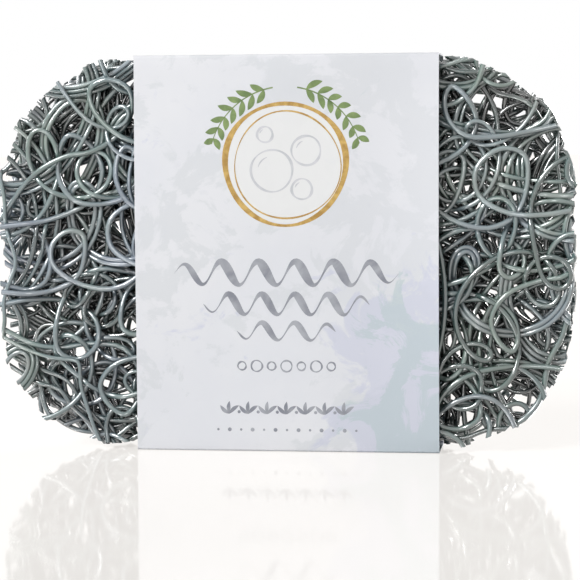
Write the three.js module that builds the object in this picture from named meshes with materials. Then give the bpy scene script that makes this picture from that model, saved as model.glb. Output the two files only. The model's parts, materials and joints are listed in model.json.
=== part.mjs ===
// A soap saver: a springy mat of looped vinyl strands, cut to a rounded oblong, in a card band.
// Millimetres, +Z up. The saver stands on its long edge as it does on a shop shelf: X runs along
// its length, Z up its face and Y through its thickness, with the printed side of the band at -Y.
// The origin is at the middle of the face that it stands on.
import * as THREE from "three";

// The mat, as the cutting die leaves it
const matLength = 120;
const matHeight = 80.5;
const cornerRadius = 28;

// The vinyl strand, and the loops in which it falls on the belt while it is soft
const strandDiameter = 1.15;
const strandGap = 0.25;
const ownGap = 0.42;
const sheetSlack = 0.15;
const loopRadius = 6.5;
const loopPitch = 13.2;
const laneWander = 1.6;
const pitchWander = 1.2;
const edgeMargin = 0.4;
const leadStep = 5;

// The part loops that the die leaves along the cut edge
const clippingWidth = 10.5;
const clippingReach = 8.5;

// The card band, folded round the mat and glued to itself down its back
const bandWidth = 63;
const cardThickness = 0.35;
const bandClearance = 0.35;
const foldRadius = 1.1;
const lapLength = 14;
const glueThickness = 0.15;
const glueMargin = 2.5;

// Counts and angles
const strandSides = 5;
const stepsPerLoop = 8;
const clippingSteps = 6;
const foldSteps = 2;
const joinedSteps = 3;
const settlingRounds = 900;
const halvings = 40;
const bendDegrees = 20;
const sheetDegrees = [9, 98, -32, 55];
const laneCounts = [6, 8, 7, 8];
const clippingCount = 24;

// Shares: how far each strand swings from the regular, and how many turns of it each swing takes
const sheetRadiusShares = [1.12, 0.98, 0.94, 1.08];
const outerLaneShare = 0.97;
const radiusSwingShares = [0.16, 0.1];
const radiusTurnShares = [0.37, 0.83];
const hurryTurnShare = 0.43;
const driftTurnShare = 0.29;
const ovalShare = 0.14;
const clippingSwingShares = [0.3, 0.25, 0.3];
const bulgeShare = 0.35;
const behindShare = 0.5;
const slopeShare = 1.04;
const settledShare = 0.01;
const parallelShare = 1e-9;
const goldenShare = 0.618034;

const strandRadius = strandDiameter / 2;
const layerDepth = strandDiameter + strandGap;
const ownDepth = strandDiameter + ownGap;
const matDepth = sheetDegrees.length * (layerDepth + ownDepth + sheetSlack);

// A turn for the wander of one strand: evenly spread over the strands and never alike
function turnOf(index, wave) {
  const spread = goldenShare * index + goldenShare ** 2 * wave * (wave + 1);
  return 2 * Math.PI * (spread - Math.floor(spread));
}

// How far a point of the face lies outside the mat's outline; less than zero inside it
function outside(point) {
  const past = new THREE.Vector2(
    Math.abs(point.x) - matLength / 2 + cornerRadius,
    Math.abs(point.y) - matHeight / 2 + cornerRadius,
  );
  const within = Math.min(Math.max(past.x, past.y), 0);
  return past.clampScalar(0, matLength).length() + within - cornerRadius;
}

// The way in which the outline faces where it is nearest to a point of the face
function outward(point) {
  const core = new THREE.Vector2(
    THREE.MathUtils.clamp(point.x, cornerRadius - matLength / 2, matLength / 2 - cornerRadius),
    THREE.MathUtils.clamp(point.y, cornerRadius - matHeight / 2, matHeight / 2 - cornerRadius),
  );
  return point.clone().sub(core).normalize();
}

// How far it is from a point of the face, on a heading, to the outline drawn in by an inset
function reach(from, heading, inset) {
  let near = 0;
  let far = matLength;
  for (let halving = 0; halving < halvings; halving++) {
    const middle = (near + far) / 2;
    if (outside(from.clone().addScaledVector(heading, middle)) < -inset) near = middle;
    else far = middle;
  }
  return near;
}

// Ends a line just on the outline, where the die cuts it
function cutLast(line) {
  const [before, end] = line.slice(-2);
  const heading = end.clone().sub(before).normalize();
  end.copy(before).addScaledVector(heading, reach(before, heading, 0));
}

// The way out of a strand, from the last of its loops to the cut edge, bending a little at each stride
function wayOut(from, heading, bend) {
  const line = [];
  const way = heading.clone();
  let point = from;
  const strides = Math.max(1, Math.round(reach(from, heading, 0) / leadStep));
  for (let left = strides; left > 0; left--) {
    point = point.clone().addScaledVector(way, reach(point, way, 0) / left);
    line.push(point);
    way.rotateAround(new THREE.Vector2(), bend);
  }
  return line;
}

// A long strand on the face: in from the cut edge, round its loops and out at the far side
function loopedLine({ sheet, across, index }) {
  const angle = THREE.MathUtils.degToRad(sheetDegrees[sheet]);
  const run = new THREE.Vector2(Math.cos(angle), Math.sin(angle));
  const cross = new THREE.Vector2(-run.y, run.x);
  const back = run.clone().negate();
  const meanRadius = loopRadius * sheetRadiusShares[sheet];
  const inset = meanRadius + strandRadius + edgeMargin;
  const middle = cross.clone().multiplyScalar(across);
  const ahead = reach(middle, run, inset);
  const behind = reach(middle, back, inset);
  const loops = Math.max(1, Math.round((ahead + behind) / loopPitch));
  const hand = across > 0 ? -1 : 1;
  const steps = loops * stepsPerLoop;
  const line = [];
  for (let step = 0; step <= steps; step++) {
    const turn = (2 * Math.PI * step) / stepsPerLoop;
    const swing =
      radiusSwingShares[0] * Math.sin(radiusTurnShares[0] * turn + turnOf(index, 1)) +
      radiusSwingShares[1] * Math.sin(radiusTurnShares[1] * turn + turnOf(index, 2));
    const radius = meanRadius * (1 + swing);
    const along = (ahead + behind) * (step / steps) - behind;
    const hurry = pitchWander * Math.sin(hurryTurnShare * turn + turnOf(index, 3));
    const drift = laneWander * Math.sin(driftTurnShare * turn + turnOf(index, 4));
    const oval = ovalShare * radius * Math.sin(2 * turn + turnOf(index, 5));
    const point = middle.clone();
    point.addScaledVector(run, along + hurry + oval + radius * Math.sin(turn));
    point.addScaledVector(cross, drift + hand * radius * Math.cos(turn));
    const past = outside(point) + strandRadius + edgeMargin;
    if (past > 0) point.addScaledVector(outward(point), -past);
    line.push(point);
  }
  const bend = THREE.MathUtils.degToRad(bendDegrees) * Math.sin(turnOf(index, 6));
  const wayIn = wayOut(line[0], back, bend).reverse();
  return { firstStep: -wayIn.length, flat: [...wayIn, ...line, ...wayOut(line[steps], run, -bend)] };
}

// A point of the outline, at a turn of the hand about the middle of the face
function outlinePoint(turn) {
  const heading = new THREE.Vector2(Math.cos(turn), Math.sin(turn));
  return heading.multiplyScalar(reach(new THREE.Vector2(), heading, 0));
}

// A clipping on the face: a part of a loop, cut off at the edge at both its ends
function clippedLine({ foot, index }) {
  const inward = outward(foot).negate();
  const aside = new THREE.Vector2(-inward.y, inward.x);
  const swings = clippingSwingShares.map((share, wave) => share * Math.sin(turnOf(index, wave)));
  const [wide, deep, skewed] = swings;
  const width = clippingWidth * (1 + wide);
  const depth = clippingReach * (1 + deep);
  const line = [];
  for (let step = 0; step <= clippingSteps; step++) {
    const turn = (Math.PI * step) / clippingSteps;
    const bulge = 1 + bulgeShare * Math.sin(turn);
    const point = foot.clone().addScaledVector(inward, depth * Math.sin(turn));
    const sideways = skewed * depth * Math.sin(turn) - (width / 2) * bulge * Math.cos(turn);
    line.push(point.addScaledVector(aside, sideways));
  }
  cutLast(line);
  line.reverse();
  cutLast(line);
  return { firstStep: 0, flat: line };
}

// The long strands lie in sheets, each sheet at its own angle and in lanes side by side
const strands = [];
sheetDegrees.forEach((degrees, sheet) => {
  const angle = THREE.MathUtils.degToRad(degrees);
  const inset = loopRadius * sheetRadiusShares[sheet] + strandRadius + edgeMargin;
  const halfSpan =
    Math.abs(Math.sin(angle)) * (matLength / 2 - cornerRadius) +
    Math.abs(Math.cos(angle)) * (matHeight / 2 - cornerRadius) +
    cornerRadius;
  const outermost = outerLaneShare * (halfSpan - inset);
  for (let lane = 0; lane < laneCounts[sheet]; lane++) {
    const across = outermost * ((2 * lane) / (laneCounts[sheet] - 1) - 1);
    const index = strands.length;
    strands.push({ name: "long_strand", sheet, ...loopedLine({ sheet, across, index }) });
  }
});

// The clippings lie all round the edge, just behind the long strands of the sheet they belong to
for (let i = 0; i < clippingCount; i++) {
  const even = (2 * Math.PI * i) / clippingCount;
  const foot = outlinePoint(Math.atan2(matHeight * Math.sin(even), matLength * Math.cos(even)));
  const sheet = ((clippingCount - i) % sheetDegrees.length) + behindShare;
  strands.push({ name: "edge_strand", sheet, ...clippedLine({ foot, index: strands.length }) });
}

// Each strand starts half its own thickness to and fro about the middle of its sheet
for (const strand of strands) {
  const depth = ((Math.floor(strand.sheet) + 1 / 2) / sheetDegrees.length - 1 / 2) * matDepth;
  strand.line = strand.flat.map((point, step) => {
    const turn = (2 * Math.PI * (step + strand.firstStep)) / stepsPerLoop;
    return new THREE.Vector3(point.x, depth + (layerDepth / 2) * Math.sin(turn), point.y);
  });
}

// Where two straight pieces of strand come nearest: the share along each, and the way between
function nearest([p, q], [r, s]) {
  const first = q.clone().sub(p);
  const second = s.clone().sub(r);
  const apart = p.clone().sub(r);
  const a = first.lengthSq();
  const b = first.dot(second);
  const c = first.dot(apart);
  const e = second.lengthSq();
  const f = second.dot(apart);
  const cramp = (share) => Math.min(1, Math.max(0, share));
  const square = a * e - b * b;
  let u = square > parallelShare * a * e ? cramp((b * f - c * e) / square) : 0.5;
  let v = (b * u + f) / e;
  if (v < 0 || v > 1) {
    v = cramp(v);
    u = cramp((b * v - c) / a);
  }
  return { u, v, way: apart.addScaledVector(first, u).addScaledVector(second, -v) };
}

// Every two pieces of strand that would touch if the mat were flat, with the room that they need.
// What was laid later lies nearer the front.
function crossings() {
  const pieces = strands.flatMap((strand) =>
    strand.line.slice(1).map((end, step) => ({ strand, step, ends: [strand.line[step], end] })),
  );
  for (const piece of pieces) {
    piece.box = new THREE.Box2().setFromPoints(piece.ends.map(({ x, z }) => new THREE.Vector2(x, z)));
    piece.shade = piece.ends.map(({ x, z }) => new THREE.Vector3(x, 0, z));
  }
  const found = [];
  pieces.forEach((piece, i) => {
    const near = piece.box.clone().expandByScalar(ownDepth);
    for (const other of pieces.slice(i + 1)) {
      const own = piece.strand === other.strand;
      if (own && other.step - piece.step < joinedSteps) continue;
      if (!near.intersectsBox(other.box)) continue;
      const room = own ? ownDepth : layerDepth;
      if (nearest(piece.shade, other.shade).way.length() > room) continue;
      const front = piece.strand.sheet < other.strand.sheet ? -1 : 1;
      found.push({ pair: [piece, other], own, room, front });
    }
  });
  return found;
}

// Settling: strands that come too near part through the depth of the mat, a little at a time
function settle(found) {
  const limit = matDepth / 2 - strandRadius;
  for (let round = 0; round < settlingRounds; round++) {
    let shortest = 0;
    for (const { pair, room, front } of found) {
      const { u, v, way } = nearest(pair[0].ends, pair[1].ends);
      if (way.y * front > 0 && way.length() >= room) continue;
      const flat = way.x ** 2 + way.z ** 2;
      const short = Math.sqrt(Math.max(0, room ** 2 - flat)) * slopeShare - way.y * front;
      if (short <= 0) continue;
      shortest = Math.max(shortest, short);
      const shares = [1 - u, u, -1 + v, -v];
      const move = (short * front) / shares.reduce((sum, share) => sum + share ** 2, 0);
      [...pair[0].ends, ...pair[1].ends].forEach((end, i) => {
        end.y = THREE.MathUtils.clamp(end.y + move * shares[i], -limit, limit);
      });
    }
    if (shortest < settledShare * strandGap) break;
  }
}

// Seating: a clipping that hangs free shifts through the depth on to the nearest strand it crosses
function seat(found) {
  const limit = matDepth / 2 - strandRadius;
  for (const clipping of strands.filter(({ name }) => name === "edge_strand")) {
    const slacks = found
      .filter(({ pair }) => pair.some(({ strand }) => strand === clipping))
      .map(({ pair, room }) => {
        const { way } = nearest(pair[0].ends, pair[1].ends);
        const needed = Math.sqrt(Math.max(0, room ** 2 - way.x ** 2 - way.z ** 2));
        const towards = pair[0].strand === clipping ? -Math.sign(way.y) : Math.sign(way.y);
        return towards * Math.max(0, Math.abs(way.y) - needed);
      });
    const least = slacks.reduce((best, slack) => (Math.abs(slack) < Math.abs(best) ? slack : best), matDepth);
    for (const point of clipping.line) point.y = THREE.MathUtils.clamp(point.y + least, -limit, limit);
  }
}

// The least gap left, between two strands or between two parts of one strand
function leastGap(found, own) {
  const alike = found.filter((crossing) => crossing.own === own);
  const ways = alike.map(({ pair }) => nearest(pair[0].ends, pair[1].ends).way.length());
  return Math.min(...ways) - strandDiameter;
}
const found = crossings();
settle(found);
seat(found);
settle(found);
console.log("least gap of a strand to itself, mm:", leastGap(found, true).toFixed(2));
console.log("least gap between two strands, mm:", leastGap(found, false).toFixed(2));

// A strand as a closed tube of flat sides round its line, with both ends cut square to the face
function strandSolid({ line }) {
  const last = line.length - 1;
  const tangents = line.map((point, i) => {
    return line[Math.min(last, i + 1)].clone().sub(line[Math.max(0, i - 1)]).normalize();
  });
  const side = new THREE.Vector3(0, 1, 0);
  const corners = line.flatMap((point, i) => {
    side.addScaledVector(tangents[i], -side.dot(tangents[i])).normalize();
    return Array.from({ length: strandSides }, (unused, k) => {
      const spoke = side.clone().applyAxisAngle(tangents[i], (2 * Math.PI * k) / strandSides);
      return spoke.multiplyScalar(strandRadius).add(point);
    });
  });
  for (const end of [0, last]) {
    const { x, z } = line[end];
    const away = outward(new THREE.Vector2(x, z));
    const cut = new THREE.Plane();
    cut.setFromNormalAndCoplanarPoint(new THREE.Vector3(away.x, 0, away.y), line[end]);
    for (const corner of corners.slice(end * strandSides, (end + 1) * strandSides)) {
      corner.addScaledVector(tangents[end], -cut.distanceToPoint(corner) / cut.normal.dot(tangents[end]));
    }
  }
  const faces = [];
  for (let k = 0; k < strandSides; k++) {
    const next = (k + 1) % strandSides;
    for (let a = 0; a < last * strandSides; a += strandSides) {
      faces.push(a + k, a + next, a + next + strandSides, a + k, a + next + strandSides, a + k + strandSides);
    }
  }
  const lastRing = last * strandSides;
  for (let k = 1; k + 1 < strandSides; k++) {
    faces.push(0, k + 1, k, lastRing, lastRing + k, lastRing + k + 1);
  }
  return new THREE.BufferGeometry().setFromPoints(corners).setIndex(faces);
}

// The card band: one strip folded round the mat, its last panel lapping over its first
const inside = { y: matDepth / 2 + bandClearance, z: matHeight / 2 + bandClearance };
const lapStep = cardThickness + glueThickness;
function bandOutline() {
  const half = cardThickness / 2;
  const near = inside.y + half;
  const far = near + lapStep;
  const edge = inside.z + half;
  const corners = [
    [near, -edge],
    [-near, -edge],
    [-near, edge],
    [far, edge],
  ];
  const middle = [{ y: near, z: lapLength / 2, turn: 0 }];
  corners.forEach(([y, z], fold) => {
    const radius = foldRadius - half;
    const centre = { y: y - Math.sign(y) * radius, z: z - Math.sign(z) * radius };
    for (let step = 0; step <= foldSteps; step++) {
      const turn = (-Math.PI / 2) * (fold + step / foldSteps);
      middle.push({ y: centre.y + radius * Math.cos(turn), z: centre.z + radius * Math.sin(turn), turn });
    }
  });
  middle.push({ y: far, z: -lapLength / 2, turn: -2 * Math.PI });
  const offset = ({ y, z, turn }, way) => new THREE.Vector2(y + way * Math.cos(turn), z + way * Math.sin(turn));
  const outer = middle.map((point) => offset(point, half));
  const inner = middle.map((point) => offset(point, -half)).reverse();
  return new THREE.Shape([...outer, ...inner]);
}

// A geometry made in (y, z) and drawn out along x, centred
function drawnOut(shape, width) {
  const geometry = new THREE.ExtrudeGeometry(shape, { depth: width, bevelEnabled: false });
  geometry.translate(0, 0, -width / 2);
  const [x, y, z] = [new THREE.Vector3(1, 0, 0), new THREE.Vector3(0, 1, 0), new THREE.Vector3(0, 0, 1)];
  return geometry.applyMatrix4(new THREE.Matrix4().makeBasis(y, z, x));
}

function glueOutline() {
  const low = inside.y + cardThickness;
  const half = lapLength / 2 - glueMargin;
  const corners = [
    [low, -half],
    [low + glueThickness, -half],
    [low + glueThickness, half],
    [low, half],
  ];
  return new THREE.Shape(corners.map(([y, z]) => new THREE.Vector2(y, z)));
}

const vinyl = new THREE.MeshStandardMaterial({ color: 0x7b8484, roughness: 0.35, metalness: 0 });
const card = new THREE.MeshStandardMaterial({ color: 0xdfe3ec, roughness: 0.6, metalness: 0 });
const glue = new THREE.MeshStandardMaterial({ color: 0xd8cfae, roughness: 0.4, metalness: 0 });

const saver = new THREE.Group();
const counts = {};
function add(name, geometry, material) {
  const mesh = new THREE.Mesh(geometry, material);
  mesh.name = name;
  saver.add(mesh);
}
for (const strand of strands) {
  counts[strand.name] = (counts[strand.name] ?? 0) + 1;
  add(strand.name + "_" + String(counts[strand.name]).padStart(2, "0"), strandSolid(strand), vinyl);
}
add("paper_band", drawnOut(bandOutline(), bandWidth), card);
add("glue_strip", drawnOut(glueOutline(), bandWidth - 2 * glueMargin), glue);

// The middle of the band's underside is the origin
saver.position.set(0, -lapStep / 2, inside.z + cardThickness);
export default saver;
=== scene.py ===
# A soap saver standing on its long edge: a mat of looped grey vinyl strands in a printed card band.
# Metres, +Z up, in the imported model's own frame. The band's printed front faces -Y.
import json
import math

import bmesh
import bpy
import numpy as np
from mathutils import Matrix, Vector

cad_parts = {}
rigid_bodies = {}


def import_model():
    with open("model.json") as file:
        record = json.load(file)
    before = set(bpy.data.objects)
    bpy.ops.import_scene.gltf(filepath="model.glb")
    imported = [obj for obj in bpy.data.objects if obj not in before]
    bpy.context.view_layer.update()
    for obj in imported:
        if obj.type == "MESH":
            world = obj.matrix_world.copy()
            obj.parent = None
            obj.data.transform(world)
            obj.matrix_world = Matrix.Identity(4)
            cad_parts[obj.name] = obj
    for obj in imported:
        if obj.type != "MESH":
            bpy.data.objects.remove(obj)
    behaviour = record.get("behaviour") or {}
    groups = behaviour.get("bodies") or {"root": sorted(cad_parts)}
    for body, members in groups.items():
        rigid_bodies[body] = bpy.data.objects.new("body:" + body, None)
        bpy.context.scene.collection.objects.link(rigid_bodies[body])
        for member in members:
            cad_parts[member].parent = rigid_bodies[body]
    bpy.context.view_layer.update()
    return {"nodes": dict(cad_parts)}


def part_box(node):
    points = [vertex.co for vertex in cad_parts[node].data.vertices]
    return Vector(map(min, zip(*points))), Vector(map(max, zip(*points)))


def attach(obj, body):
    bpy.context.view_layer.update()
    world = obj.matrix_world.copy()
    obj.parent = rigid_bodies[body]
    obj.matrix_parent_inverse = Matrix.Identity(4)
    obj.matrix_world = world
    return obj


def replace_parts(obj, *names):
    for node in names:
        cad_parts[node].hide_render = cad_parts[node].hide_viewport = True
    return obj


for spare in list(bpy.data.objects):
    bpy.data.objects.remove(spare)
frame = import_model()

LONG = sorted(name for name in frame["nodes"] if name.startswith("long_strand"))
EDGE = sorted(name for name in frame["nodes"] if name.startswith("edge_strand"))

# The mat, read from the frame
corners = [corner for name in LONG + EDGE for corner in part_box(name)]
MAT_LOW = Vector([min(corner[i] for corner in corners) for i in range(3)])
MAT_HIGH = Vector([max(corner[i] for corner in corners) for i in range(3)])
MAT_CENTRE = (MAT_LOW + MAT_HIGH) / 2
MAT_LENGTH = MAT_HIGH.x - MAT_LOW.x
MAT_HEIGHT = MAT_HIGH.z - MAT_LOW.z
MAT_DEPTH = MAT_HIGH.y - MAT_LOW.y
CORNER_RADIUS = 0.028

# The outline that the strands are cut to. The mat as photographed sits a little left of the band's
# middle, its lower left corner is fuller, and its edge wavers. Each strand is snipped a little off it.
OUTLINE_X = MAT_CENTRE.x - 0.0010
LOWER_LEFT_RADIUS = 0.0255
OUTLINE_WAVER = 0.00022
WAVER_ALONG_X = (420, 2)
WAVER_ALONG_Z = (510, 1)
SNIP_DEPTHS = (-0.0003, 0.0007)
SNIP_MOST_SHARE = 0.4
HALVINGS = 30

# How the frame's own strands are read: corners this near are one, those this near the outline lie on
# the cut, and this many steps lead half way round a tube
FRAME_WELD = 1e-6
CUT_SLACK = 0.0002
HALF_RING = 3

# The vinyl strand
STRAND_RADIUS = 0.000575
STRAND_SPACING = 0.00102
HELD_SAMPLES = 4
END_REACH = 0.0018
LEAST_DEPTH = 0.00028
STEEP_ENOUGH = 0.7
DRAWN_SHARE = 0.09
DRAWN_LENGTHS = (0.0123, 0.0071)
TUBE_RESOLUTION = 2
WELD = 1e-7
SHARP_ANGLE = math.radians(50)
STRAND_SHADES = [
    (0.0, (0.020, 0.041, 0.039)),
    (0.22, (0.056, 0.099, 0.094)),
    (0.5, (0.137, 0.200, 0.186)),
    (0.8, (0.156, 0.192, 0.212)),
    (1.0, (0.256, 0.322, 0.298)),
]
PATCH_CASTS = [(0.36, (1.06, 1.00, 0.91)), (0.50, (0.97, 1.00, 0.99)), (0.64, (0.93, 0.92, 1.08))]

# The strands that fill the mat to its real density, beyond those that the frame holds
FILL_GROUPS = 5
FILL_SEED = 615
FILL_STEP = 0.0022
FILL_SAMPLES = 3
FILL_RADIUS_SHARES = (0.76, 1.06)
SPREAD_STEPS = (0.8191725, 0.6710436, 0.5497005)
# those that loop right across
FILL_PATHS = 68
PATH_SPREAD = 0.94
PATH_REACH = 0.64 * MAT_LENGTH
LOOP_RADIUS = (0.0045, 0.0085)
LOOP_PITCH = (0.009, 0.020)
LOOP_SWELLS = ((0.50, 0.061), (0.36, 0.034), (0.20, 0.0173))
SWELL_LENGTH_SHARES = (0.8, 1.25)
DRIFT_DEGREE = 9
# those along the rim
RIM_PATHS = 30
RIM_LENGTHS = (0.018, 0.05)
RIM_DEPTHS = (0.0015, 0.006)
RIM_OVERSHOOT = 0.004
RIM_WAVER = 0.0009
RIM_WAVER_LENGTHS = (0.012, 0.02)
# and more that cross the lower left corner, where the mat is denser, by their places among those of the rim
CORNER_PLACES = (14.2, 15.0, 15.8, 16.4, 17.1, 17.7, 18.4, 19.0, 19.9, 20.6)
CORNER_DEPTHS = (0.003, 0.013)
# some run side by side in ribbons of two or three, which part and meet again
RIBBON_CHANCES = (0.54, 0.28, 0.18)
RIBBON_SHARE = 0.82
RIBBON_STIFFNESS = 0.28
RIBBON_PARTING = 2.2
RIBBON_TURN = 0.07
# how they settle through the depth of the mat
SETTLING_ROUNDS = 160
SETTLING_HASTE = 1.3
SETTLING_EVENNESS = 0.06
NEXT_STEPS = 4

# The card band, read from the frame
BAND_LOW, BAND_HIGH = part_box("paper_band")
BAND_WIDTH = BAND_HIGH.x - BAND_LOW.x
BAND_HEIGHT = BAND_HIGH.z - BAND_LOW.z
CARD_THICKNESS = 0.00035
CARD_BELLY = 0.00045
CARD_WAVE = 0.00018
CARD_WAVE_TURN = 95
EDGE_LIFT = 0.0014
EDGE_LIFT_WIDTH = 0.016
LAP_STEP = 0.0005
LAP_LENGTH = 0.014
LAP_LIFT = 0.0007
LAP_LIFT_HEIGHT = 0.008
FOLD_RADIUS = 0.00045
FOLD_STEPS = 6
CUTS_UP = 24
CUTS_ACROSS = 20
FRONT_SLACK = 0.0002
LAP_SLACK = 0.0001

# The print on the front of the band
INK_THICKNESS = 0.00003
LEAST_STROKE = 0.00003
RING_RADIUS = 0.0125
RING_CENTRE = ((BAND_LOW.x + BAND_HIGH.x) / 2, BAND_LOW.y, BAND_LOW.z + 0.0595)
BUBBLES = (
    (-0.0028, -0.0014, 0.0043),
    (0.0043, 0.0027, 0.0030),
    (0.0034, -0.0052, 0.0021),
    (-0.0042, 0.0060, 0.0016),
)
SPRAY_RADIUS = 0.0158
SPRAY_POINTS = 30

# The camera, fitted to the photograph
IMAGE_WIDTH = 580
FOCAL_PIXELS = 2175.53
SENSOR_WIDTH = 36
CAMERA_AZIMUTH = math.radians(7.6)
CAMERA_ELEVATION = math.radians(4.11)
CAMERA_ROLL = math.radians(-0.35)
CAMERA_DISTANCE = 0.45524
CAMERA_TARGET = Vector((-0.00017, 0, 0.03302))


def link(name, data):
    """A new object of a mesh, curve, lamp or camera, in the scene."""
    made = bpy.data.objects.new(name, data)
    bpy.context.scene.collection.objects.link(made)
    return made


def finished(name, shape, material, body):
    """A finished piece from a bmesh, with its material, riding on a body."""
    mesh = bpy.data.meshes.new(name)
    shape.to_mesh(mesh)
    shape.free()
    mesh.shade_smooth()
    mesh.set_sharp_from_angle(angle=SHARP_ANGLE)
    mesh.materials.append(material)
    piece = link(name, mesh)
    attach(piece, body)
    return piece


# Materials
class Nodes:
    """Adds nodes to a tree and joins them. Each kind of node below add gives back what comes out of it."""

    def __init__(self, tree):
        self.tree = tree

    def feed(self, value, socket):
        """Puts a number, a colour or a vector on a socket, or joins another socket to it."""
        if isinstance(value, bpy.types.NodeSocket):
            self.tree.links.new(value, socket)
        elif isinstance(value, tuple) and len(value) < len(socket.default_value):
            socket.default_value = (*value, 1)
        else:
            socket.default_value = value

    def add(self, kind, inputs=None, **settings):
        """A new node, its inputs given by name or number."""
        made = self.tree.nodes.new(kind)
        for key, value in settings.items():
            setattr(made, key, value)
        for key, value in (inputs or {}).items():
            self.feed(value, made.inputs[key])
        return made

    def place(self):
        """Each point's place on the object."""
        return self.add("ShaderNodeTexCoord").outputs["Object"]

    def maths(self, operation, *values):
        """A number worked out from others."""
        return self.add("ShaderNodeMath", dict(enumerate(values)), operation=operation).outputs[0]

    def vector(self, operation, *values):
        """A vector worked out from others."""
        return self.add("ShaderNodeVectorMath", dict(enumerate(values)), operation=operation).outputs[0]

    def split(self, vector):
        """The X, Y and Z of a vector."""
        return self.add("ShaderNodeSeparateXYZ", {"Vector": vector}).outputs

    def noise(self, place, scale, detail, rough=0.5, warp=0.0):
        """Cloudy noise about 0.5."""
        inputs = {"Vector": place, "Scale": scale, "Detail": detail, "Roughness": rough, "Distortion": warp}
        return self.add("ShaderNodeTexNoise", inputs).outputs["Fac"]

    def stretch(self, value, low, high, to_low=0.0, to_high=1.0, curve="SMOOTHSTEP"):
        """The range from low to high moved on to another one, and held at its ends."""
        inputs = {"Value": value, "From Min": low, "From Max": high, "To Min": to_low, "To Max": to_high}
        return self.add("ShaderNodeMapRange", inputs, interpolation_type=curve).outputs["Result"]

    def ramp(self, value, stops):
        """A colour for each number, between stops."""
        made = self.add("ShaderNodeValToRGB", {"Fac": value})
        elements = made.color_ramp.elements
        while len(elements) < len(stops):
            elements.new(0.5)
        for element, (position, colour) in zip(elements, stops):
            element.position = position
            element.color = (*colour, 1)
        return made.outputs["Color"]

    def wash(self, share, amount, under, over):
        """One colour laid over another by a share, at most by an amount of it."""
        factor = self.maths("MULTIPLY", share, amount)
        return self.add("ShaderNodeMix", {0: factor, 6: under, 7: over}, data_type="RGBA").outputs[2]

    def bump(self, height, strength, distance):
        """A normal that follows a fine relief."""
        inputs = {"Height": height, "Strength": strength, "Distance": distance}
        return self.add("ShaderNodeBump", inputs).outputs["Normal"]


def new_material(name, finish):
    """A material with the plain numbers of its finish set: the material, its nodes, its shader's inputs."""
    material = bpy.data.materials.new(name)
    material.use_nodes = True
    shader = material.node_tree.nodes["Principled BSDF"]
    for key, value in finish.items():
        shader.inputs[key].default_value = value
    return material, Nodes(material.node_tree), shader.inputs


def vinyl_material():
    """Soft glossy vinyl: grey, each strand a shade of its own, with slow mottling and fine drawing lines, and
    painted shade in the heart of the mat and towards its foot.
    """
    finish = {
        "Specular IOR Level": 1.0, "IOR": 1.54,
        "Coat Weight": 1.0, "Coat Roughness": 0.06, "Coat IOR": 1.75,
    }
    material, nodes, shader = new_material("grey_vinyl", finish)
    place = nodes.place()
    shade = nodes.ramp(nodes.add("ShaderNodeAttribute", attribute_name="tint").outputs["Fac"], STRAND_SHADES)
    mottle = nodes.noise(place, 160.0, 3.0)
    level = nodes.stretch(mottle, 0.3, 0.7, 0.86, 1.16, "LINEAR")
    # the loops on the two faces and round the rim are painted paler than those in the heart of the mat:
    # painted shade in the heart, where the loops shade each other
    off_middle = nodes.vector("SUBTRACT", place, (OUTLINE_X, MAT_CENTRE.y, MAT_CENTRE.z))
    share = nodes.vector("DIVIDE", off_middle, (MAT_LENGTH / 2, MAT_DEPTH / 2, MAT_HEIGHT / 2))
    from_heart = nodes.split(nodes.vector("ABSOLUTE", share))
    to_rim = nodes.maths("MAXIMUM", from_heart["X"], from_heart["Z"])
    face_painted_shade = nodes.stretch(from_heart["Y"], 0.0, 0.90, 0.08, 1.14)
    rim_painted_shade = nodes.stretch(to_rim, 0.82, 1.0, 0.08, 0.95)
    level = nodes.maths("MULTIPLY", level, nodes.maths("MAXIMUM", face_painted_shade, rim_painted_shade))
    # and all are painted a little darker towards the foot and paler towards the top: painted shade and light,
    # as under light from above
    sides = nodes.split(share)
    level = nodes.maths("MULTIPLY", level, nodes.maths("MULTIPLY_ADD", sides["Z"], 0.16, 0.98))
    # slow patches in which the grey leans to lavender, more so on the left, or to a warm stone
    patches = nodes.noise(place, 60.0, 2.0)
    cast = nodes.ramp(nodes.maths("MULTIPLY_ADD", sides["X"], -0.065, patches), PATCH_CASTS)
    colour = nodes.vector("MULTIPLY", shade, cast)
    colour = nodes.add("ShaderNodeVectorMath", {0: colour, "Scale": level}, operation="SCALE").outputs[0]
    nodes.feed(colour, shader["Base Color"])
    nodes.feed(nodes.stretch(mottle, 0.0, 1.0, 0.12, 0.30, "LINEAR"), shader["Roughness"])
    nodes.feed(nodes.bump(nodes.noise(place, 900.0, 2.0), 0.12, 0.0002), shader["Normal"])
    return material


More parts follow.
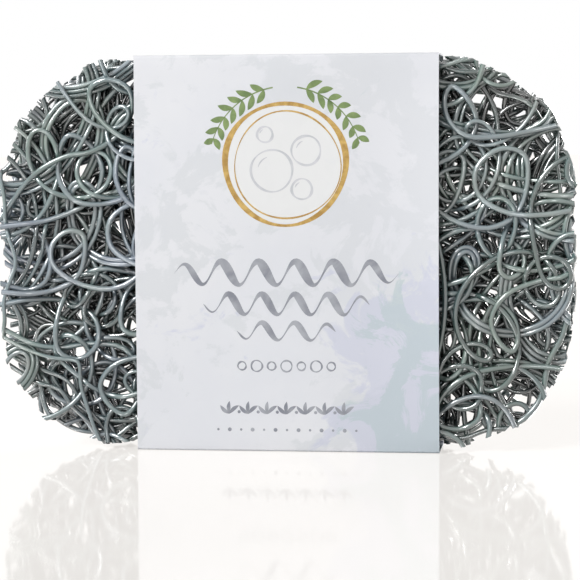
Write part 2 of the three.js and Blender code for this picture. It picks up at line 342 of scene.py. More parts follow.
def card_material():
    """White card printed with a pale watercolour wash, greyer and bluer towards its lower right."""
    material, nodes, shader = new_material("washed_card", {"Specular IOR Level": 0.4})
    place = nodes.place()
    sides = nodes.split(place)
    soft = nodes.stretch(nodes.noise(place, 38.0, 4.0, 0.55), 0.35, 0.65)
    colour = nodes.wash(soft, 1.0, (0.785, 0.795, 0.835), (0.825, 0.830, 0.860))
    # grey clouds with crisp edges, most of them in the upper right
    rightward = nodes.stretch(sides["X"], -0.002, 0.024)
    cloud = nodes.maths("MULTIPLY_ADD", rightward, 0.11, nodes.noise(place, 70.0, 7.0, 0.66, 0.5))
    colour = nodes.wash(nodes.stretch(cloud, 0.54, 0.595), 0.46, colour, (0.665, 0.690, 0.715))
    colour = nodes.wash(rightward, 0.30, colour, (0.705, 0.715, 0.760))
    # lavender and then teal pools, towards the lower right corner
    downward = nodes.stretch(sides["Z"], 0.050, 0.022)
    pool = nodes.maths("MULTIPLY", downward, rightward)
    bloom = nodes.maths("MULTIPLY_ADD", pool, 0.34, nodes.noise(place, 95.0, 7.0, 0.60, 0.9))
    colour = nodes.wash(nodes.stretch(bloom, 0.63, 0.71), 0.52, colour, (0.590, 0.610, 0.755))
    teal = nodes.maths("MULTIPLY_ADD", pool, 0.24, nodes.noise(place, 80.0, 8.0, 0.64, 1.2))
    colour = nodes.wash(nodes.stretch(teal, 0.695, 0.75), 0.58, colour, (0.490, 0.595, 0.612))
    speckle = nodes.stretch(nodes.noise(place, 420.0, 3.0, 0.55), 0.60, 0.76)
    colour = nodes.wash(speckle, 0.16, colour, (0.650, 0.665, 0.720))
    # the card is left unwashed inside the ring
    to_ring = nodes.add("ShaderNodeVectorMath", {0: place, 1: RING_CENTRE}, operation="DISTANCE")
    unwashed = nodes.stretch(to_ring.outputs["Value"], RING_RADIUS + 0.0002, RING_RADIUS - 0.0006)
    colour = nodes.wash(unwashed, 0.85, colour, (0.86, 0.86, 0.855))
    nodes.feed(colour, shader["Base Color"])
    fibre = nodes.noise(place, 2600.0, 3.0, 0.55)
    nodes.feed(nodes.bump(fibre, 0.08, 0.0001), shader["Normal"])
    nodes.feed(nodes.stretch(fibre, 0.3, 0.7, 0.46, 0.58), shader["Roughness"])
    return material


def streaked_material(name, dark, light, roughness, scale, detail=5.0, warp=0.4, edges=(0.36, 0.64)):
    """Ink or glue, streaked or clouded between a dark and a light shade."""
    material, nodes, shader = new_material(name, {"Roughness": roughness})
    streak = nodes.noise(nodes.place(), scale, detail, warp=warp)
    nodes.feed(nodes.ramp(streak, list(zip(edges, (dark, light)))), shader["Base Color"])
    return material


VINYL = vinyl_material()
CARD = card_material()
GOLD_INK = streaked_material("gold_ink", (0.42, 0.24, 0.05), (0.66, 0.44, 0.13), 0.42, 700.0)
LEAF_INK = streaked_material("leaf_ink", (0.13, 0.20, 0.07), (0.24, 0.33, 0.12), 0.55, 420.0)
GREY_INK = streaked_material("grey_ink", (0.24, 0.25, 0.29), (0.42, 0.43, 0.47), 0.55, 260.0)
PALE_INK = streaked_material("pale_ink", (0.58, 0.59, 0.62), (0.70, 0.70, 0.73), 0.55, 300.0)
GLUE = streaked_material(
    "dried_glue", (0.62, 0.57, 0.42), (0.74, 0.70, 0.56), 0.35, 240.0, detail=3.0, warp=0.0, edges=(0.3, 0.7),
)


# The strands
def outside(x, z, middle_x=MAT_CENTRE.x, lower_left=CORNER_RADIUS):
    """How far points of the face lie outside the frame's outline, less than zero inside it."""
    radius = np.where((x < middle_x) & (z < MAT_CENTRE.z), lower_left, CORNER_RADIUS)
    past_x = np.abs(x - middle_x) - MAT_LENGTH / 2 + radius
    past_z = np.abs(z - MAT_CENTRE.z) - MAT_HEIGHT / 2 + radius
    within = np.minimum(np.maximum(past_x, past_z), 0)
    return np.hypot(np.maximum(past_x, 0), np.maximum(past_z, 0)) + within - radius


def past_cut(x, z):
    """How far points of the face lie outside the outline that the strands are cut to.

    It wavers, but never past the mat's top and bottom, where the band's card lies on it.
    """
    waver = sum(np.sin(turn * at + start) for at, (turn, start) in ((x, WAVER_ALONG_X), (z, WAVER_ALONG_Z)))
    past_flat_edge = np.abs(z - MAT_CENTRE.z) - MAT_HEIGHT / 2
    return np.maximum(outside(x, z, OUTLINE_X, LOWER_LEFT_RADIUS) + OUTLINE_WAVER * waver, past_flat_edge)


def outward(x, z):
    """The way in which the outline faces at the point of it nearest to a point of the face."""
    radius = LOWER_LEFT_RADIUS if x < OUTLINE_X and z < MAT_CENTRE.z else CORNER_RADIUS
    half_x = MAT_LENGTH / 2 - radius
    half_z = MAT_HEIGHT / 2 - radius
    core_x = OUTLINE_X + max(-half_x, min(half_x, x - OUTLINE_X))
    core_z = MAT_CENTRE.z + max(-half_z, min(half_z, z - MAT_CENTRE.z))
    return Vector((x - core_x, 0, z - core_z)).normalized()


def centreline(node):
    """The line that a strand of the frame follows, from the rings of corners along its tube."""
    tube = bmesh.new()
    tube.from_mesh(node.data)
    bmesh.ops.remove_doubles(tube, verts=tube.verts, dist=FRAME_WELD)
    cut = [v for v in tube.verts if outside(v.co.x, v.co.z) > -CUT_SLACK]
    # a set has no fixed order, so nothing is taken from one by its place in it
    ring = {min(cut, key=lambda v: v.co.x + v.co.z)}
    for _ in range(HALF_RING):
        ring |= {e.other_vert(v) for v in ring for e in v.link_edges} & set(cut)
    line = []
    seen = set()
    while ring:
        line.append(np.mean(sorted(v.co.to_tuple() for v in ring), axis=0))
        seen |= ring
        ring = {e.other_vert(v) for v in ring for e in v.link_edges} - seen
    tube.free()
    return np.array(line)


def smoothed(line, samples):
    """A rounder line through the same points: a centripetal Catmull-Rom curve."""
    points = np.vstack([2 * line[0] - line[1], line, 2 * line[-1] - line[-2]])
    knots = np.cumsum(np.append(0, np.linalg.norm(np.diff(points, axis=0), axis=1) ** 0.5))
    shares = np.arange(samples) / samples
    t = [knots[j : len(points) - 3 + j, None, None] for j in range(4)]
    p = [points[j : len(points) - 3 + j, None, :] for j in range(4)]
    now = t[1] + (t[2] - t[1]) * shares[None, :, None]
    a = [((t[j + 1] - now) * p[j] + (now - t[j]) * p[j + 1]) / (t[j + 1] - t[j]) for j in range(3)]
    b = [((t[j + 2] - now) * a[j] + (now - t[j]) * a[j + 1]) / (t[j + 2] - t[j]) for j in range(2)]
    rounder = ((t[2] - now) * b[0] + (now - t[1]) * b[1]) / (t[2] - t[1])
    return np.vstack([rounder.reshape(-1, 3), line[-1]])


def spread(number, wave):
    """An even spread of shares from 0 to 1 over the numbers, another one for each wave."""
    return (0.5 + number * SPREAD_STEPS[wave]) % 1


def looping_path(rng, number, stiffness):
    """A long path on the face that loops its way across the mat and past it at both ends."""
    heading = math.pi * spread(number, 0)
    run = np.array([math.cos(heading), math.sin(heading)])
    cross = np.array([-run[1], run[0]])
    half_span = abs(run[1]) * MAT_LENGTH / 2 + abs(run[0]) * MAT_HEIGHT / 2
    across = (2 * spread(number, 1) - 1) * PATH_SPREAD * half_span
    radius = rng.uniform(*LOOP_RADIUS) * stiffness
    pitch = rng.uniform(*LOOP_PITCH) * stiffness
    along = np.arange(0, 2 * PATH_REACH / pitch * 2 * math.pi * radius, FILL_STEP)
    bend = np.ones(len(along))
    for share, length in LOOP_SWELLS:
        swell = 2 * math.pi * along / (length * rng.uniform(*SWELL_LENGTH_SHARES))
        bend += share * np.sin(swell + rng.uniform(0, 2 * math.pi))
    angle = rng.choice([-1, 1]) * np.cumsum(bend) * FILL_STEP / radius + heading
    loops = np.stack([np.cumsum(np.cos(angle)), np.cumsum(np.sin(angle))], 1) * FILL_STEP
    # the loops' own slow drift is taken out, so that the path keeps to its straight run
    share = np.linspace(-1, 1, len(along))
    fit = np.polynomial.polynomial.polyfit(share, loops, DRIFT_DEGREE)
    drift = np.polynomial.polynomial.polyval(share, fit).T
    return loops - drift + np.outer(PATH_REACH * share, run) + across * cross


def rim_path(rng, number, depths):
    """A path that comes in over the outline, follows it for a while and goes out again."""
    turn = 2 * math.pi * (number + rng.uniform(-0.4, 0.4)) / RIM_PATHS
    length = rng.uniform(*RIM_LENGTHS)
    deepest = rng.uniform(*depths)
    along = np.arange(-RIM_OVERSHOOT, length + RIM_OVERSHOOT, FILL_STEP)
    arch = np.sin(math.pi * along / length)
    waver = RIM_WAVER * np.sin(2 * math.pi * along / rng.uniform(*RIM_WAVER_LENGTHS) + rng.uniform(0, 6))
    point = np.array([MAT_LENGTH / 2 * math.cos(turn), MAT_HEIGHT / 2 * math.sin(turn)])
    path = []
    for depth in deepest * arch + waver * np.clip(arch, 0, 1):
        x, z = point[0] + OUTLINE_X, point[1] + MAT_CENTRE.z
        away = np.array(outward(x, z).xz)
        point = point - past_cut(x, z) * away
        path.append(point - depth * away)
        point = point + FILL_STEP * np.array([-away[1], away[0]])
    return np.array(path)


def beside(path, offset):
    """A path that runs beside another at an offset."""
    ahead = np.gradient(path, axis=0)
    ahead /= np.linalg.norm(ahead, axis=1)[:, None]
    normal = np.stack([-ahead[:, 1], ahead[:, 0]], 1)
    return path + normal * offset[:, None]


def inside_runs(path):
    """The stretches of a path inside the mat's outline, each with one point past it at either end."""
    within = past_cut(path[:, 0], path[:, 1]) < 0
    changes = np.flatnonzero(np.diff(within.astype(int)))
    runs = []
    for start, end in zip(changes[:-1], changes[1:]):
        if within[start + 1] and end - start > 2:
            runs.append((start, end + 2))
    return runs


def fill_strands():
    """The filling strands before they settle: each one's line, with its path and its first step along it."""
    rng = np.random.default_rng(FILL_SEED)
    strands = []
    middle = np.array([OUTLINE_X, MAT_CENTRE.z])
    rims = [(place, RIM_DEPTHS) for place in range(RIM_PATHS)]
    rims += [(place, CORNER_DEPTHS) for place in CORNER_PLACES]
    for number in range(FILL_PATHS + len(rims)):
        members = rng.choice([1, 2, 3], p=RIBBON_CHANCES)
        if number < FILL_PATHS:
            path = middle + looping_path(rng, number, 1 + RIBBON_STIFFNESS * (members - 1))
        else:
            path = middle + rim_path(rng, *rims[number - FILL_PATHS])
        depth = MAT_CENTRE.y + (spread(number, 2) - 0.5) * (MAT_DEPTH - 2 * STRAND_RADIUS)
        turn = RIBBON_TURN * np.arange(len(path)) + rng.uniform(0, 2 * math.pi)
        part = 1 + RIBBON_PARTING * np.maximum(0, np.sin(turn)) ** 3
        for member in range(members):
            line = beside(path, member * 2 * STRAND_RADIUS * RIBBON_SHARE * part)
            radius = STRAND_RADIUS * rng.uniform(*FILL_RADIUS_SHARES)
            for start, end in inside_runs(line):
                flat = line[start:end]
                points = np.stack([flat[:, 0], np.full(len(flat), depth), flat[:, 1]], 1)
                strands.append({"line": points, "path": number, "first": start, "radius": radius})
    return strands


def closest(p, q, r, s):
    """Where pairs of straight pieces come nearest: the share along each, and the way between."""
    first, second, apart = q - p, s - r, p - r
    a = np.einsum("ij,ij->i", first, first)
    b = np.einsum("ij,ij->i", first, second)
    c = np.einsum("ij,ij->i", first, apart)
    e = np.einsum("ij,ij->i", second, second)
    f = np.einsum("ij,ij->i", second, apart)
    u = np.clip((b * f - c * e) / np.maximum(a * e - b * b, 1e-18), 0, 1)
    v = np.clip((b * u + f) / e, 0, 1)
    u = np.clip((b * v - c) / a, 0, 1)
    return u, v, apart + first * u[:, None] - second * v[:, None]


def near_pairs(flat, room):
    """Every pair of straight pieces whose boxes on the face come within room of each other."""
    low = flat.min(1) - room / 2
    high = flat.max(1) + room / 2
    found = []
    for i in range(len(flat)):
        meets = (low[i + 1 :] < high[i]).all(1) & (high[i + 1 :] > low[i]).all(1)
        others = np.flatnonzero(meets) + i + 1
        found.append(np.stack([np.full(len(others), i), others], 1))
    return np.vstack(found)


def settle(fixed, filling):
    """Parts the filling strands through the mat's depth until they clear each other and the fixed ones."""
    every = fixed + filling
    sizes = np.array([len(strand["line"]) for strand in every])
    begins = np.cumsum(sizes) - sizes
    points = np.vstack([strand["line"] for strand in every])
    head = np.concatenate([np.arange(b, b + n - 1) for b, n in zip(begins, sizes)])
    owner = np.repeat(np.arange(len(every)), sizes - 1)
    path = np.array([strand["path"] for strand in every])[owner]
    place = np.concatenate([np.arange(n - 1) + strand["first"] for strand, n in zip(every, sizes)])
    movable = owner >= len(fixed)
    # the pairs of straight pieces that cross as seen from the front, and which of the two lies behind
    i, j = near_pairs(np.stack([points[head][:, [0, 2]], points[head + 1][:, [0, 2]]], 1), STRAND_SPACING).T
    joined = (path[i] == path[j]) & (np.abs(place[i] - place[j]) < NEXT_STEPS)
    i, j = i[~joined & movable[j]], j[~joined & movable[j]]
    level = points * np.array([1, 0, 1])
    way = closest(level[head[i]], level[head[i] + 1], level[head[j]], level[head[j] + 1])[2]
    touching = np.linalg.norm(way, axis=1) < STRAND_SPACING
    i, j = i[touching], j[touching]
    way = closest(points[head[i]], points[head[i] + 1], points[head[j]], points[head[j] + 1])[2]
    order = np.where(path[i] == path[j], np.sign(place[j] - place[i]), np.where(way[:, 1] < 0, -1, 1))
    limit = MAT_DEPTH / 2 - STRAND_RADIUS
    free = np.repeat(np.arange(len(every)) >= len(fixed), sizes)
    inner = free.copy()
    inner[begins] = inner[begins + sizes - 1] = False
    weight_i = np.where(movable[i], 0.5, 0.0)
    for _ in range(SETTLING_ROUNDS):
        u, v, way = closest(points[head[i]], points[head[i] + 1], points[head[j]], points[head[j] + 1])
        needed = np.sqrt(np.maximum(0, STRAND_SPACING**2 - way[:, 0] ** 2 - way[:, 2] ** 2))
        short = np.maximum(0, needed - way[:, 1] * order)
        move = np.zeros(len(points))
        count = np.zeros(len(points))
        for piece, share, weight, sign in ((i, u, weight_i, 1), (j, v, 1 - weight_i, -1)):
            for end, part in ((0, 1 - share), (1, share)):
                np.add.at(move, head[piece] + end, sign * order * short * weight * part)
                np.add.at(count, head[piece] + end, (short > 0) * part)
        depth = points[:, 1] + np.where(free, SETTLING_HASTE * move / np.maximum(count, 1), 0)
        even = depth.copy()
        even[1:-1] = (depth[:-2] + depth[2:]) / 2
        depth = np.where(inner, depth + SETTLING_EVENNESS * (even - depth), depth)
        points[:, 1] = np.where(free, np.clip(depth, MAT_CENTRE.y - limit, MAT_CENTRE.y + limit), depth)
    for strand, b, n in zip(every, begins, sizes):
        strand["line"] = points[b : b + n]
    length = sum(np.linalg.norm(np.diff(strand["line"], axis=0), axis=1).sum() for strand in filling)
    close = (short > STRAND_RADIUS / 2).sum()
    print(f"{len(filling)} filling strands, {length:.2f} m, {len(i)} crossings, {close} still close")


def tube_mesh(line, radius):
    """A closed round tube along a line, drawn a little thicker and thinner along its way."""
    curve = bpy.data.curves.new("strand", "CURVE")
    curve.dimensions = "3D"
    curve.bevel_depth = radius
    curve.bevel_resolution = TUBE_RESOLUTION
    curve.use_fill_caps = True
    spline = curve.splines.new("POLY")
    spline.points.add(len(line) - 1)
    spline.points.foreach_set("co", np.hstack([line, np.ones((len(line), 1))]).ravel())
    run = np.append(0, np.cumsum(np.linalg.norm(np.diff(line, axis=0), axis=1)))
    drawn = np.sin(2 * math.pi * run / DRAWN_LENGTHS[0]) + np.sin(2 * math.pi * run / DRAWN_LENGTHS[1] + 1)
    spline.points.foreach_set("radius", 1 + DRAWN_SHARE / 2 * drawn)
    holder = link("strand", curve)
    bpy.context.view_layer.update()
    mesh = bpy.data.meshes.new_from_object(holder.evaluated_get(bpy.context.evaluated_depsgraph_get()))
    bpy.data.objects.remove(holder)
    bpy.data.curves.remove(curve)
    return mesh


def on_outline(inner, outer, inset):
    """Where the straight line from an inner to an outer point passes the outline, or a line inside it."""
    low, high = 0.0, 1.0
    for _ in range(HALVINGS):
        middle = (low + high) / 2
        point = inner + (outer - inner) * middle
        if past_cut(point[0], point[2]) < -inset:
            low = middle
        else:
            high = middle
    return inner + (outer - inner) * low


def cut_flush(tube, end, along, reach):
    """Cuts a tube along the outline at its end, as the die does, and less aslant where it runs along it."""
    square = outward(end[0], end[2])
    square += along * max(0, 1 - along.dot(square) / STEEP_ENOUGH)
    near = [v for v in tube.verts if (v.co - Vector(end)).length < reach]
    faces = dict.fromkeys(f for v in near for f in v.link_faces)
    edges = dict.fromkeys(e for f in faces for e in f.edges)
    verts = dict.fromkeys(v for f in faces for v in f.verts)
    bmesh.ops.bisect_plane(
        tube, geom=[*verts, *edges, *faces], dist=WELD,
        plane_co=Vector(end), plane_no=square.normalized(), clear_outer=True,
    )
    bmesh.ops.holes_fill(tube, edges=[e for e in tube.edges if e.is_boundary], sides=0)


def strand_tube(line, radius, samples, inset):
    """One strand as a bmesh: a round tube along its smoothed line, cut off near the outline at both ends."""
    line = smoothed(line, samples)
    for end, step in ((0, 1), (-1, -1)):
        away = line[end] - line[end + step]
        line[end] = line[end] + END_REACH * away / np.linalg.norm(away)
    depth = -past_cut(line[:, 0], line[:, 2])
    inset = min(inset, SNIP_MOST_SHARE * depth.max())
    within = np.flatnonzero(depth > inset)
    for index in range(within[0] + 1, within[-1]):
        line[index] -= max(0, LEAST_DEPTH - depth[index]) * np.array(outward(line[index, 0], line[index, 2]))
    start = max(within[0] - 2, 0)
    first, last = within[0] - start, within[-1] - start
    line = line[start : within[-1] + 3]
    ends = []
    for inner, outer in ((first, max(first - 1, 0)), (last, min(last + 1, len(line) - 1))):
        along = Vector(line[outer] - line[inner]).normalized()
        ends.append((on_outline(line[inner], line[outer], inset), along))
    made = tube_mesh(line, radius)
    tube = bmesh.new()
    tube.from_mesh(made)
    bpy.data.meshes.remove(made)
    bmesh.ops.remove_doubles(tube, verts=tube.verts, dist=WELD)
    for end, along in ends:
        cut_flush(tube, end, along, 2 * END_REACH)
    return tube


def strand_piece(name, strands, samples):
    """One piece of one or more strands, each with a tint of its own."""
    whole = bmesh.new()
    for strand in strands:
        tube = strand_tube(strand["line"], strand["radius"], samples, strand["inset"])
        layer = tube.verts.layers.float.new("tint")
        for vertex in tube.verts:
            vertex[layer] = strand["tint"]
        held = bpy.data.meshes.new("strand")
        tube.to_mesh(held)
        tube.free()
        whole.from_mesh(held)
        bpy.data.meshes.remove(held)
    bmesh.ops.recalc_face_normals(whole, faces=whole.faces)
    return finished(name, whole, VINYL, "mat")


held_strands = [
    {"line": centreline(frame["nodes"][name]), "path": -1 - number, "first": 0, "radius": STRAND_RADIUS}
    for number, name in enumerate(LONG + EDGE)
]
filling_strands = fill_strands()
settle(held_strands, filling_strands)
tint_rng = np.random.default_rng(FILL_SEED + 1)
for strand in held_strands + filling_strands:
    strand["tint"] = tint_rng.uniform(0, 1)
    strand["inset"] = tint_rng.uniform(*SNIP_DEPTHS)
for name, strand in zip(LONG + EDGE, held_strands):
    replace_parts(strand_piece("vinyl_" + name, [strand], HELD_SAMPLES), name)
for group in range(FILL_GROUPS):
    strand_piece(f"vinyl_filling_{group + 1}", filling_strands[group::FILL_GROUPS], FILL_SAMPLES)


# The card band
def front_sag(x, z):
    """How far the front of the band stands out of flat at a point of it, most at its lifted right edge."""
    share = (z - BAND_LOW.z) / BAND_HEIGHT
    belly = CARD_BELLY * math.sin(math.pi * share)
    wave = CARD_WAVE * math.sin(CARD_WAVE_TURN * x + 0.6) * math.sin(2 * math.pi * share + 0.4)
    lift = EDGE_LIFT * max(0, (x - BAND_HIGH.x) / EDGE_LIFT_WIDTH + 1) ** 2
    return (belly + wave + lift) * math.sin(math.pi * share) ** 0.5


def lap_lift(z):
    """How far the free end of the lap stands off the back."""
    free_end = (BAND_LOW.z + BAND_HIGH.z - LAP_LENGTH) / 2
    return LAP_LIFT * max(0, 1 - (z - free_end) / LAP_LIFT_HEIGHT) ** 2


def band_profile():
    """The outer side of the band in (y, z), from the hidden end of the strip round to the lapping end."""
    middle = (BAND_LOW.z + BAND_HIGH.z) / 2
    inner_back = BAND_HIGH.y - LAP_STEP
    folds = [
        (inner_back, BAND_LOW.z),
        (BAND_LOW.y, BAND_LOW.z),
        (BAND_LOW.y, BAND_HIGH.z),
        (BAND_HIGH.y, BAND_HIGH.z),
    ]
    profile = [(inner_back, middle + LAP_LENGTH / 2)]
    for number, (y, z) in enumerate(folds):
        centre_y = y - math.copysign(FOLD_RADIUS, y)
        centre_z = z - math.copysign(FOLD_RADIUS, z - middle)
        for step in range(FOLD_STEPS + 1):
            turn = -math.pi / 2 * (number + step / FOLD_STEPS)
            profile.append((centre_y + FOLD_RADIUS * math.cos(turn), centre_z + FOLD_RADIUS * math.sin(turn)))
    profile.append((BAND_HIGH.y, middle - LAP_LENGTH / 2))
    return profile


def band_piece():
    """The folded card, with its lap at the back."""
    card = bmesh.new()
    points = [card.verts.new((BAND_LOW.x, y, z)) for y, z in band_profile()]
    for a, b in zip(points[:-1], points[1:]):
        card.edges.new((a, b))
    panels = [e for e in card.edges if e.calc_length() > MAT_DEPTH / 2]
    bmesh.ops.subdivide_edges(card, edges=panels, cuts=CUTS_UP)
    swept = bmesh.ops.extrude_edge_only(card, edges=card.edges[:])
    moved = [v for v in swept["geom"] if isinstance(v, bmesh.types.BMVert)]
    bmesh.ops.translate(card, verts=moved, vec=(BAND_WIDTH, 0, 0))
    across = [e for e in card.edges if abs(e.verts[0].co.x - e.verts[1].co.x) > BAND_WIDTH / 2]
    bmesh.ops.subdivide_edges(card, edges=across, cuts=CUTS_ACROSS, use_grid_fill=True)
    for vertex in card.verts:
        if vertex.co.y < BAND_LOW.y + FRONT_SLACK:
            vertex.co.y -= front_sag(vertex.co.x, vertex.co.z)
        elif vertex.co.y > BAND_HIGH.y - LAP_SLACK:
            vertex.co.y += lap_lift(vertex.co.z)
    bmesh.ops.recalc_face_normals(card, faces=card.faces)
    outermost = min(card.faces, key=lambda face: face.calc_center_median().y)
    if outermost.normal.y > 0:
        bmesh.ops.reverse_faces(card, faces=card.faces)
    bmesh.ops.solidify(card, geom=card.faces[:], thickness=CARD_THICKNESS)
    bmesh.ops.recalc_face_normals(card, faces=card.faces)
    return finished("printed_card_band", card, CARD, "band")


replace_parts(band_piece(), "paper_band")
glue = frame["nodes"]["glue_strip"]
glue.data.materials.clear()
glue.data.materials.append(GLUE)


# The printed ornament, as thin layers of ink on the front of the card
def ink_piece(name, strokes, material):
    """One colour of ink. A stroke is a line of (x, z) points, a width at each, and whether it is closed."""
    ink = bmesh.new()
    for points, widths, closed in strokes:
        if closed:
            ahead = np.roll(points, -1, axis=0) - np.roll(points, 1, axis=0)
        else:
            ahead = np.gradient(points, axis=0)
        ahead /= np.linalg.norm(ahead, axis=1)[:, None]
        aside = np.stack([-ahead[:, 1], ahead[:, 0]], 1) * widths[:, None] / 2
        rims = []
        for rim in (points + aside, points - aside):
            verts = [ink.verts.new((x, 0, z)) for x, z in rim]
            pairs = list(zip(verts[:-1], verts[1:]))
            if closed:
                pairs.append((verts[-1], verts[0]))
            rims += [ink.edges.new(pair) for pair in pairs]
        bmesh.ops.bridge_loops(ink, edges=rims)
    for vertex in ink.verts:
        vertex.co.y = BAND_LOW.y - front_sag(vertex.co.x, vertex.co.z) + INK_THICKNESS / 3
    for face in ink.faces:
        face.normal_update()
        if face.normal.y > 0:
            face.normal_flip()
    bmesh.ops.solidify(ink, geom=ink.faces[:], thickness=-INK_THICKNESS)
    bmesh.ops.recalc_face_normals(ink, faces=ink.faces)
    return finished(name, ink, material, "band")


def arc(x, z, radii, turns):
    """Points at turns and radii round a centre."""
    return np.stack([x + radii * np.cos(turns), z + radii * np.sin(turns)], 1)


def ring(x, z, radius, width, rng):
    """A closed brush stroke round a centre, a little out of round and of uneven width."""
    turns = np.linspace(0, 2 * math.pi, 64, endpoint=False)
    a, b = rng.uniform(0, 2 * math.pi, 2)
    radii = radius * (1 + 0.015 * np.sin(3 * turns + a))
    widths = width * (1 + 0.28 * np.sin(2 * turns + b) + 0.16 * np.sin(5 * turns + a))
    return arc(x, z, radii, turns), widths, True


def leaf(x, z, angle, length, width):
    """A pointed leaf from its foot, at an angle."""
    along = np.linspace(0, 1, 9)
    bend = 0.08 * length * np.sin(math.pi * along)
    points = np.stack([
        x + length * along * math.cos(angle) - bend * math.sin(angle),
        z + length * along * math.sin(angle) + bend * math.cos(angle),
    ], 1)
    return points, np.maximum(width * np.sin(math.pi * along) ** 0.8, LEAST_STROKE), False


def brush_wave(x, z, length, height, width, waves):
    """A painted wave round a middle point, thick on its way down and thin on its way up."""
    share = np.linspace(0, 1, 24 * waves)
    turn = 2 * math.pi * waves * (share - 0.5)
    taper = np.minimum(1, 7 * np.minimum(share, 1 - share)) ** 0.7
    widths = width * taper * (0.58 - 0.42 * np.cos(turn + 0.35))
    points = np.stack([x + length * (share - 0.5), z + height * np.sin(turn) * (0.6 + 0.4 * taper)], 1)
    return points, np.maximum(widths, 2 * LEAST_STROKE), False


def dot(x, z, radius):
    """A small round dot, as a closed stroke as wide as its own radius."""
    turns = np.linspace(0, 2 * math.pi, 12, endpoint=False)
    return arc(x, z, radius / 2, turns), np.full(len(turns), 0.96 * radius), True


def row(count, step):
    """The places along X of a row about the middle of the band."""
    return [RING_CENTRE[0] + (number - (count - 1) / 2) * step for number in range(count)]


def leafy_spray(side, rng):
    """A bent stem round the ring, with leaves in pairs: its strokes."""
    middle_x, _, ring_z = RING_CENTRE
    turn = math.pi / 2 - side * (0.16 + 1.15 * np.linspace(0, 1, SPRAY_POINTS))
    stem = arc(middle_x, ring_z, SPRAY_RADIUS, turn)
    strokes = [(stem, np.linspace(0.00030, 0.00016, SPRAY_POINTS), False)]
    for number, step in enumerate(range(3, SPRAY_POINTS, 4)):
        ahead = math.atan2(*(stem[step] - stem[step - 1])[::-1])
        for flank in (-1, 1):
            length = 0.0034 - 0.00014 * number + 0.0004 * rng.uniform(-1, 1)
            angle = ahead + flank * (0.75 + 0.15 * rng.uniform(-1, 1))
            strokes.append(leaf(*stem[step], angle, length, 0.0013))
    return strokes


def ornament():
    """A gold ring of bubbles under two leafy sprays, painted waves, and rows of bubbles and small leaves."""
    rng = np.random.default_rng(FILL_SEED + 2)
    middle_x, _, ring_z = RING_CENTRE
    gold = [
        ring(middle_x, ring_z, RING_RADIUS, 0.00095, rng),
        ring(middle_x + 0.0004, ring_z - 0.0003, 0.0110, 0.00028, rng),
    ]
    pale = []
    for x, z, radius in BUBBLES:
        pale.append(ring(middle_x + x, ring_z + z, radius, 0.00042, rng))
        glint = arc(middle_x + x, ring_z + z, 0.68 * radius, np.linspace(1.9, 2.9, 10))
        pale.append((glint, 0.0003 * np.sin(np.linspace(0.3, math.pi - 0.3, 10)), False))
    green = leafy_spray(-1, rng) + leafy_spray(1, rng)
    grey = [
        brush_wave(middle_x, BAND_LOW.z + 0.0370, 0.0465, 0.0024, 0.00190, 6),
        brush_wave(middle_x, BAND_LOW.z + 0.0306, 0.0345, 0.0021, 0.00160, 5),
        brush_wave(middle_x, BAND_LOW.z + 0.0250, 0.0205, 0.0018, 0.00135, 3),
    ]
    for number, x in enumerate(row(7, 0.0031)):
        grey.append(ring(x, BAND_LOW.z + 0.0178, 0.00085 + 0.00030 * (number % 2), 0.00030, rng))
    # a row of small leaves in threes with dots between them, and a row of dots under it
    for x in row(7, 0.0040):
        for flank in (-1, 0, 1):
            grey.append(leaf(x, BAND_LOW.z + 0.0078, math.pi / 2 - flank * 0.85, 0.0026, 0.00080))
    for x in row(6, 0.0040):
        grey.append(dot(x, BAND_LOW.z + 0.0082, 0.00034))
    for number, x in enumerate(row(13, 0.0024)):
        grey.append(dot(x, BAND_LOW.z + 0.0045, 0.00026 + 0.00016 * (number % 2)))
    ink_piece("gold_print", gold, GOLD_INK)
    ink_piece("bubble_print", pale, PALE_INK)
    ink_piece("leaf_print", green, LEAF_INK)
    ink_piece("wave_print", grey, GREY_INK)


ornament()


# The stage
def floor():
    """A white gloss table that keeps the object's shadow and a faint reflection."""
    made = bmesh.new()
    bmesh.ops.create_grid(made, x_segments=4, y_segments=4, size=6)
    mesh = bpy.data.meshes.new("table_top")
    made.to_mesh(mesh)
    made.free()
    material = bpy.data.materials.new("white_table")
    material.use_nodes = True
    material.node_tree.nodes.clear()
    nodes = Nodes(material.node_tree)
    matt = nodes.add("ShaderNodeBsdfDiffuse", {"Color": (0.25, 0.25, 0.245)}).outputs[0]
    shine = nodes.add("ShaderNodeBsdfGlossy", {"Roughness": 0.06}).outputs[0]
    both = nodes.add("ShaderNodeMixShader", {0: 0.30, 1: matt, 2: shine}).outputs[0]
    # the table is as white as the backdrop where the camera or a shiny surface sees it, out to its far edge
    ray = nodes.add("ShaderNodeLightPath").outputs
    seen = nodes.maths("MAXIMUM", ray["Is Camera Ray"], ray["Is Glossy Ray"])
    reach = nodes.add("ShaderNodeVectorMath", {0: nodes.place()}, operation="LENGTH").outputs["Value"]
    strength = nodes.maths("MULTIPLY", seen, nodes.stretch(reach, 0.15, 2.2, 0.655, 0.775))
    glow = nodes.add("ShaderNodeEmission", {"Color": (1.0, 0.965, 0.93), "Strength": strength}).outputs[0]
    total = nodes.add("ShaderNodeAddShader", {0: both, 1: glow}).outputs[0]
    nodes.add("ShaderNodeOutputMaterial", {"Surface": total})
    mesh.materials.append(material)
    table = link("table_top", mesh)


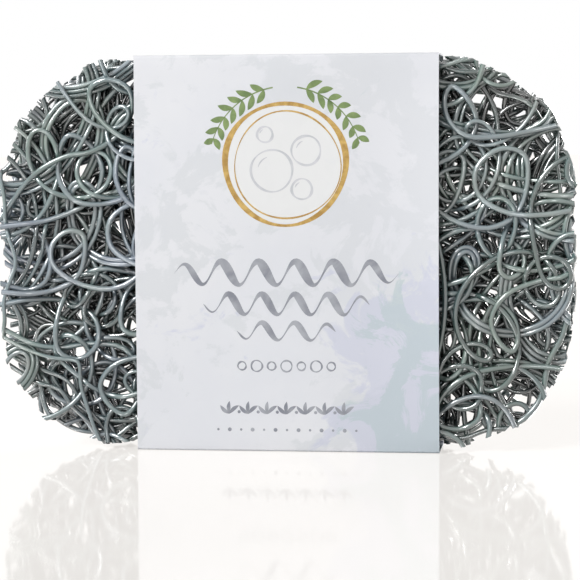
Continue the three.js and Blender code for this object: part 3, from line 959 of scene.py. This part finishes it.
def backdrop():
    """White all round: the camera, gloss and glass see pure white, and other light comes in softly."""
    world = bpy.data.worlds.new("white_studio")
    bpy.context.scene.world = world
    world.use_nodes = True
    nodes = Nodes(world.node_tree)
    light = world.node_tree.nodes["Background"]
    light.inputs["Color"].default_value = (1, 1, 1, 1)
    ray = nodes.add("ShaderNodeLightPath").outputs
    clear = nodes.maths("MAXIMUM", ray["Is Camera Ray"], ray["Is Glossy Ray"])
    clear = nodes.maths("MAXIMUM", clear, ray["Is Transmission Ray"])
    nodes.feed(nodes.stretch(clear, 0.0, 1.0, 0.06, 1.0, "LINEAR"), light.inputs["Strength"])


def lamp(name, place, size, power, target=(0, 0, 0.04)):
    """A square soft lamp that faces a target."""
    light = bpy.data.lights.new(name, "AREA")
    light.size = size
    light.energy = power
    made = link(name, light)
    made.location = place
    made.rotation_euler = (Vector(target) - Vector(place)).to_track_quat("-Z", "Y").to_euler()


def camera():
    """The photograph's view: a long lens just above the table, a little to the right."""
    made = link("camera", bpy.data.cameras.new("camera"))
    flat = math.cos(CAMERA_ELEVATION)
    away_x = math.sin(CAMERA_AZIMUTH) * flat
    away_y = -math.cos(CAMERA_AZIMUTH) * flat
    away = Vector((away_x, away_y, math.sin(CAMERA_ELEVATION)))
    made.location = CAMERA_TARGET + CAMERA_DISTANCE * away
    turned = (-away).to_track_quat("-Z", "Y").to_matrix() @ Matrix.Rotation(CAMERA_ROLL, 3, "Z")
    made.rotation_euler = turned.to_euler()
    made.data.sensor_width = SENSOR_WIDTH
    made.data.sensor_fit = "HORIZONTAL"
    made.data.lens = FOCAL_PIXELS / IMAGE_WIDTH * SENSOR_WIDTH
    made.data.clip_start = 0.01
    bpy.context.scene.camera = made


floor()
backdrop()
lamp("key_lamp", (-1.20, -1.25, 1.35), 0.75, 33.1)
lamp("glint_lamp", (-1.10, -1.55, 1.10), 0.09, 11.0)
lamp("fill_lamp", (-0.20, -1.90, 0.50), 0.30, 3.0)
lamp("back_lamp", (0.70, 1.65, 0.60), 0.50, 17.5)
lamp("left_side_lamp", (-0.85, 0.25, 0.25), 0.25, 2.4)
lamp("right_side_lamp", (0.85, 0.30, 0.20), 0.25, 2.0)
camera()
bpy.context.scene.view_settings.view_transform = "Standard"
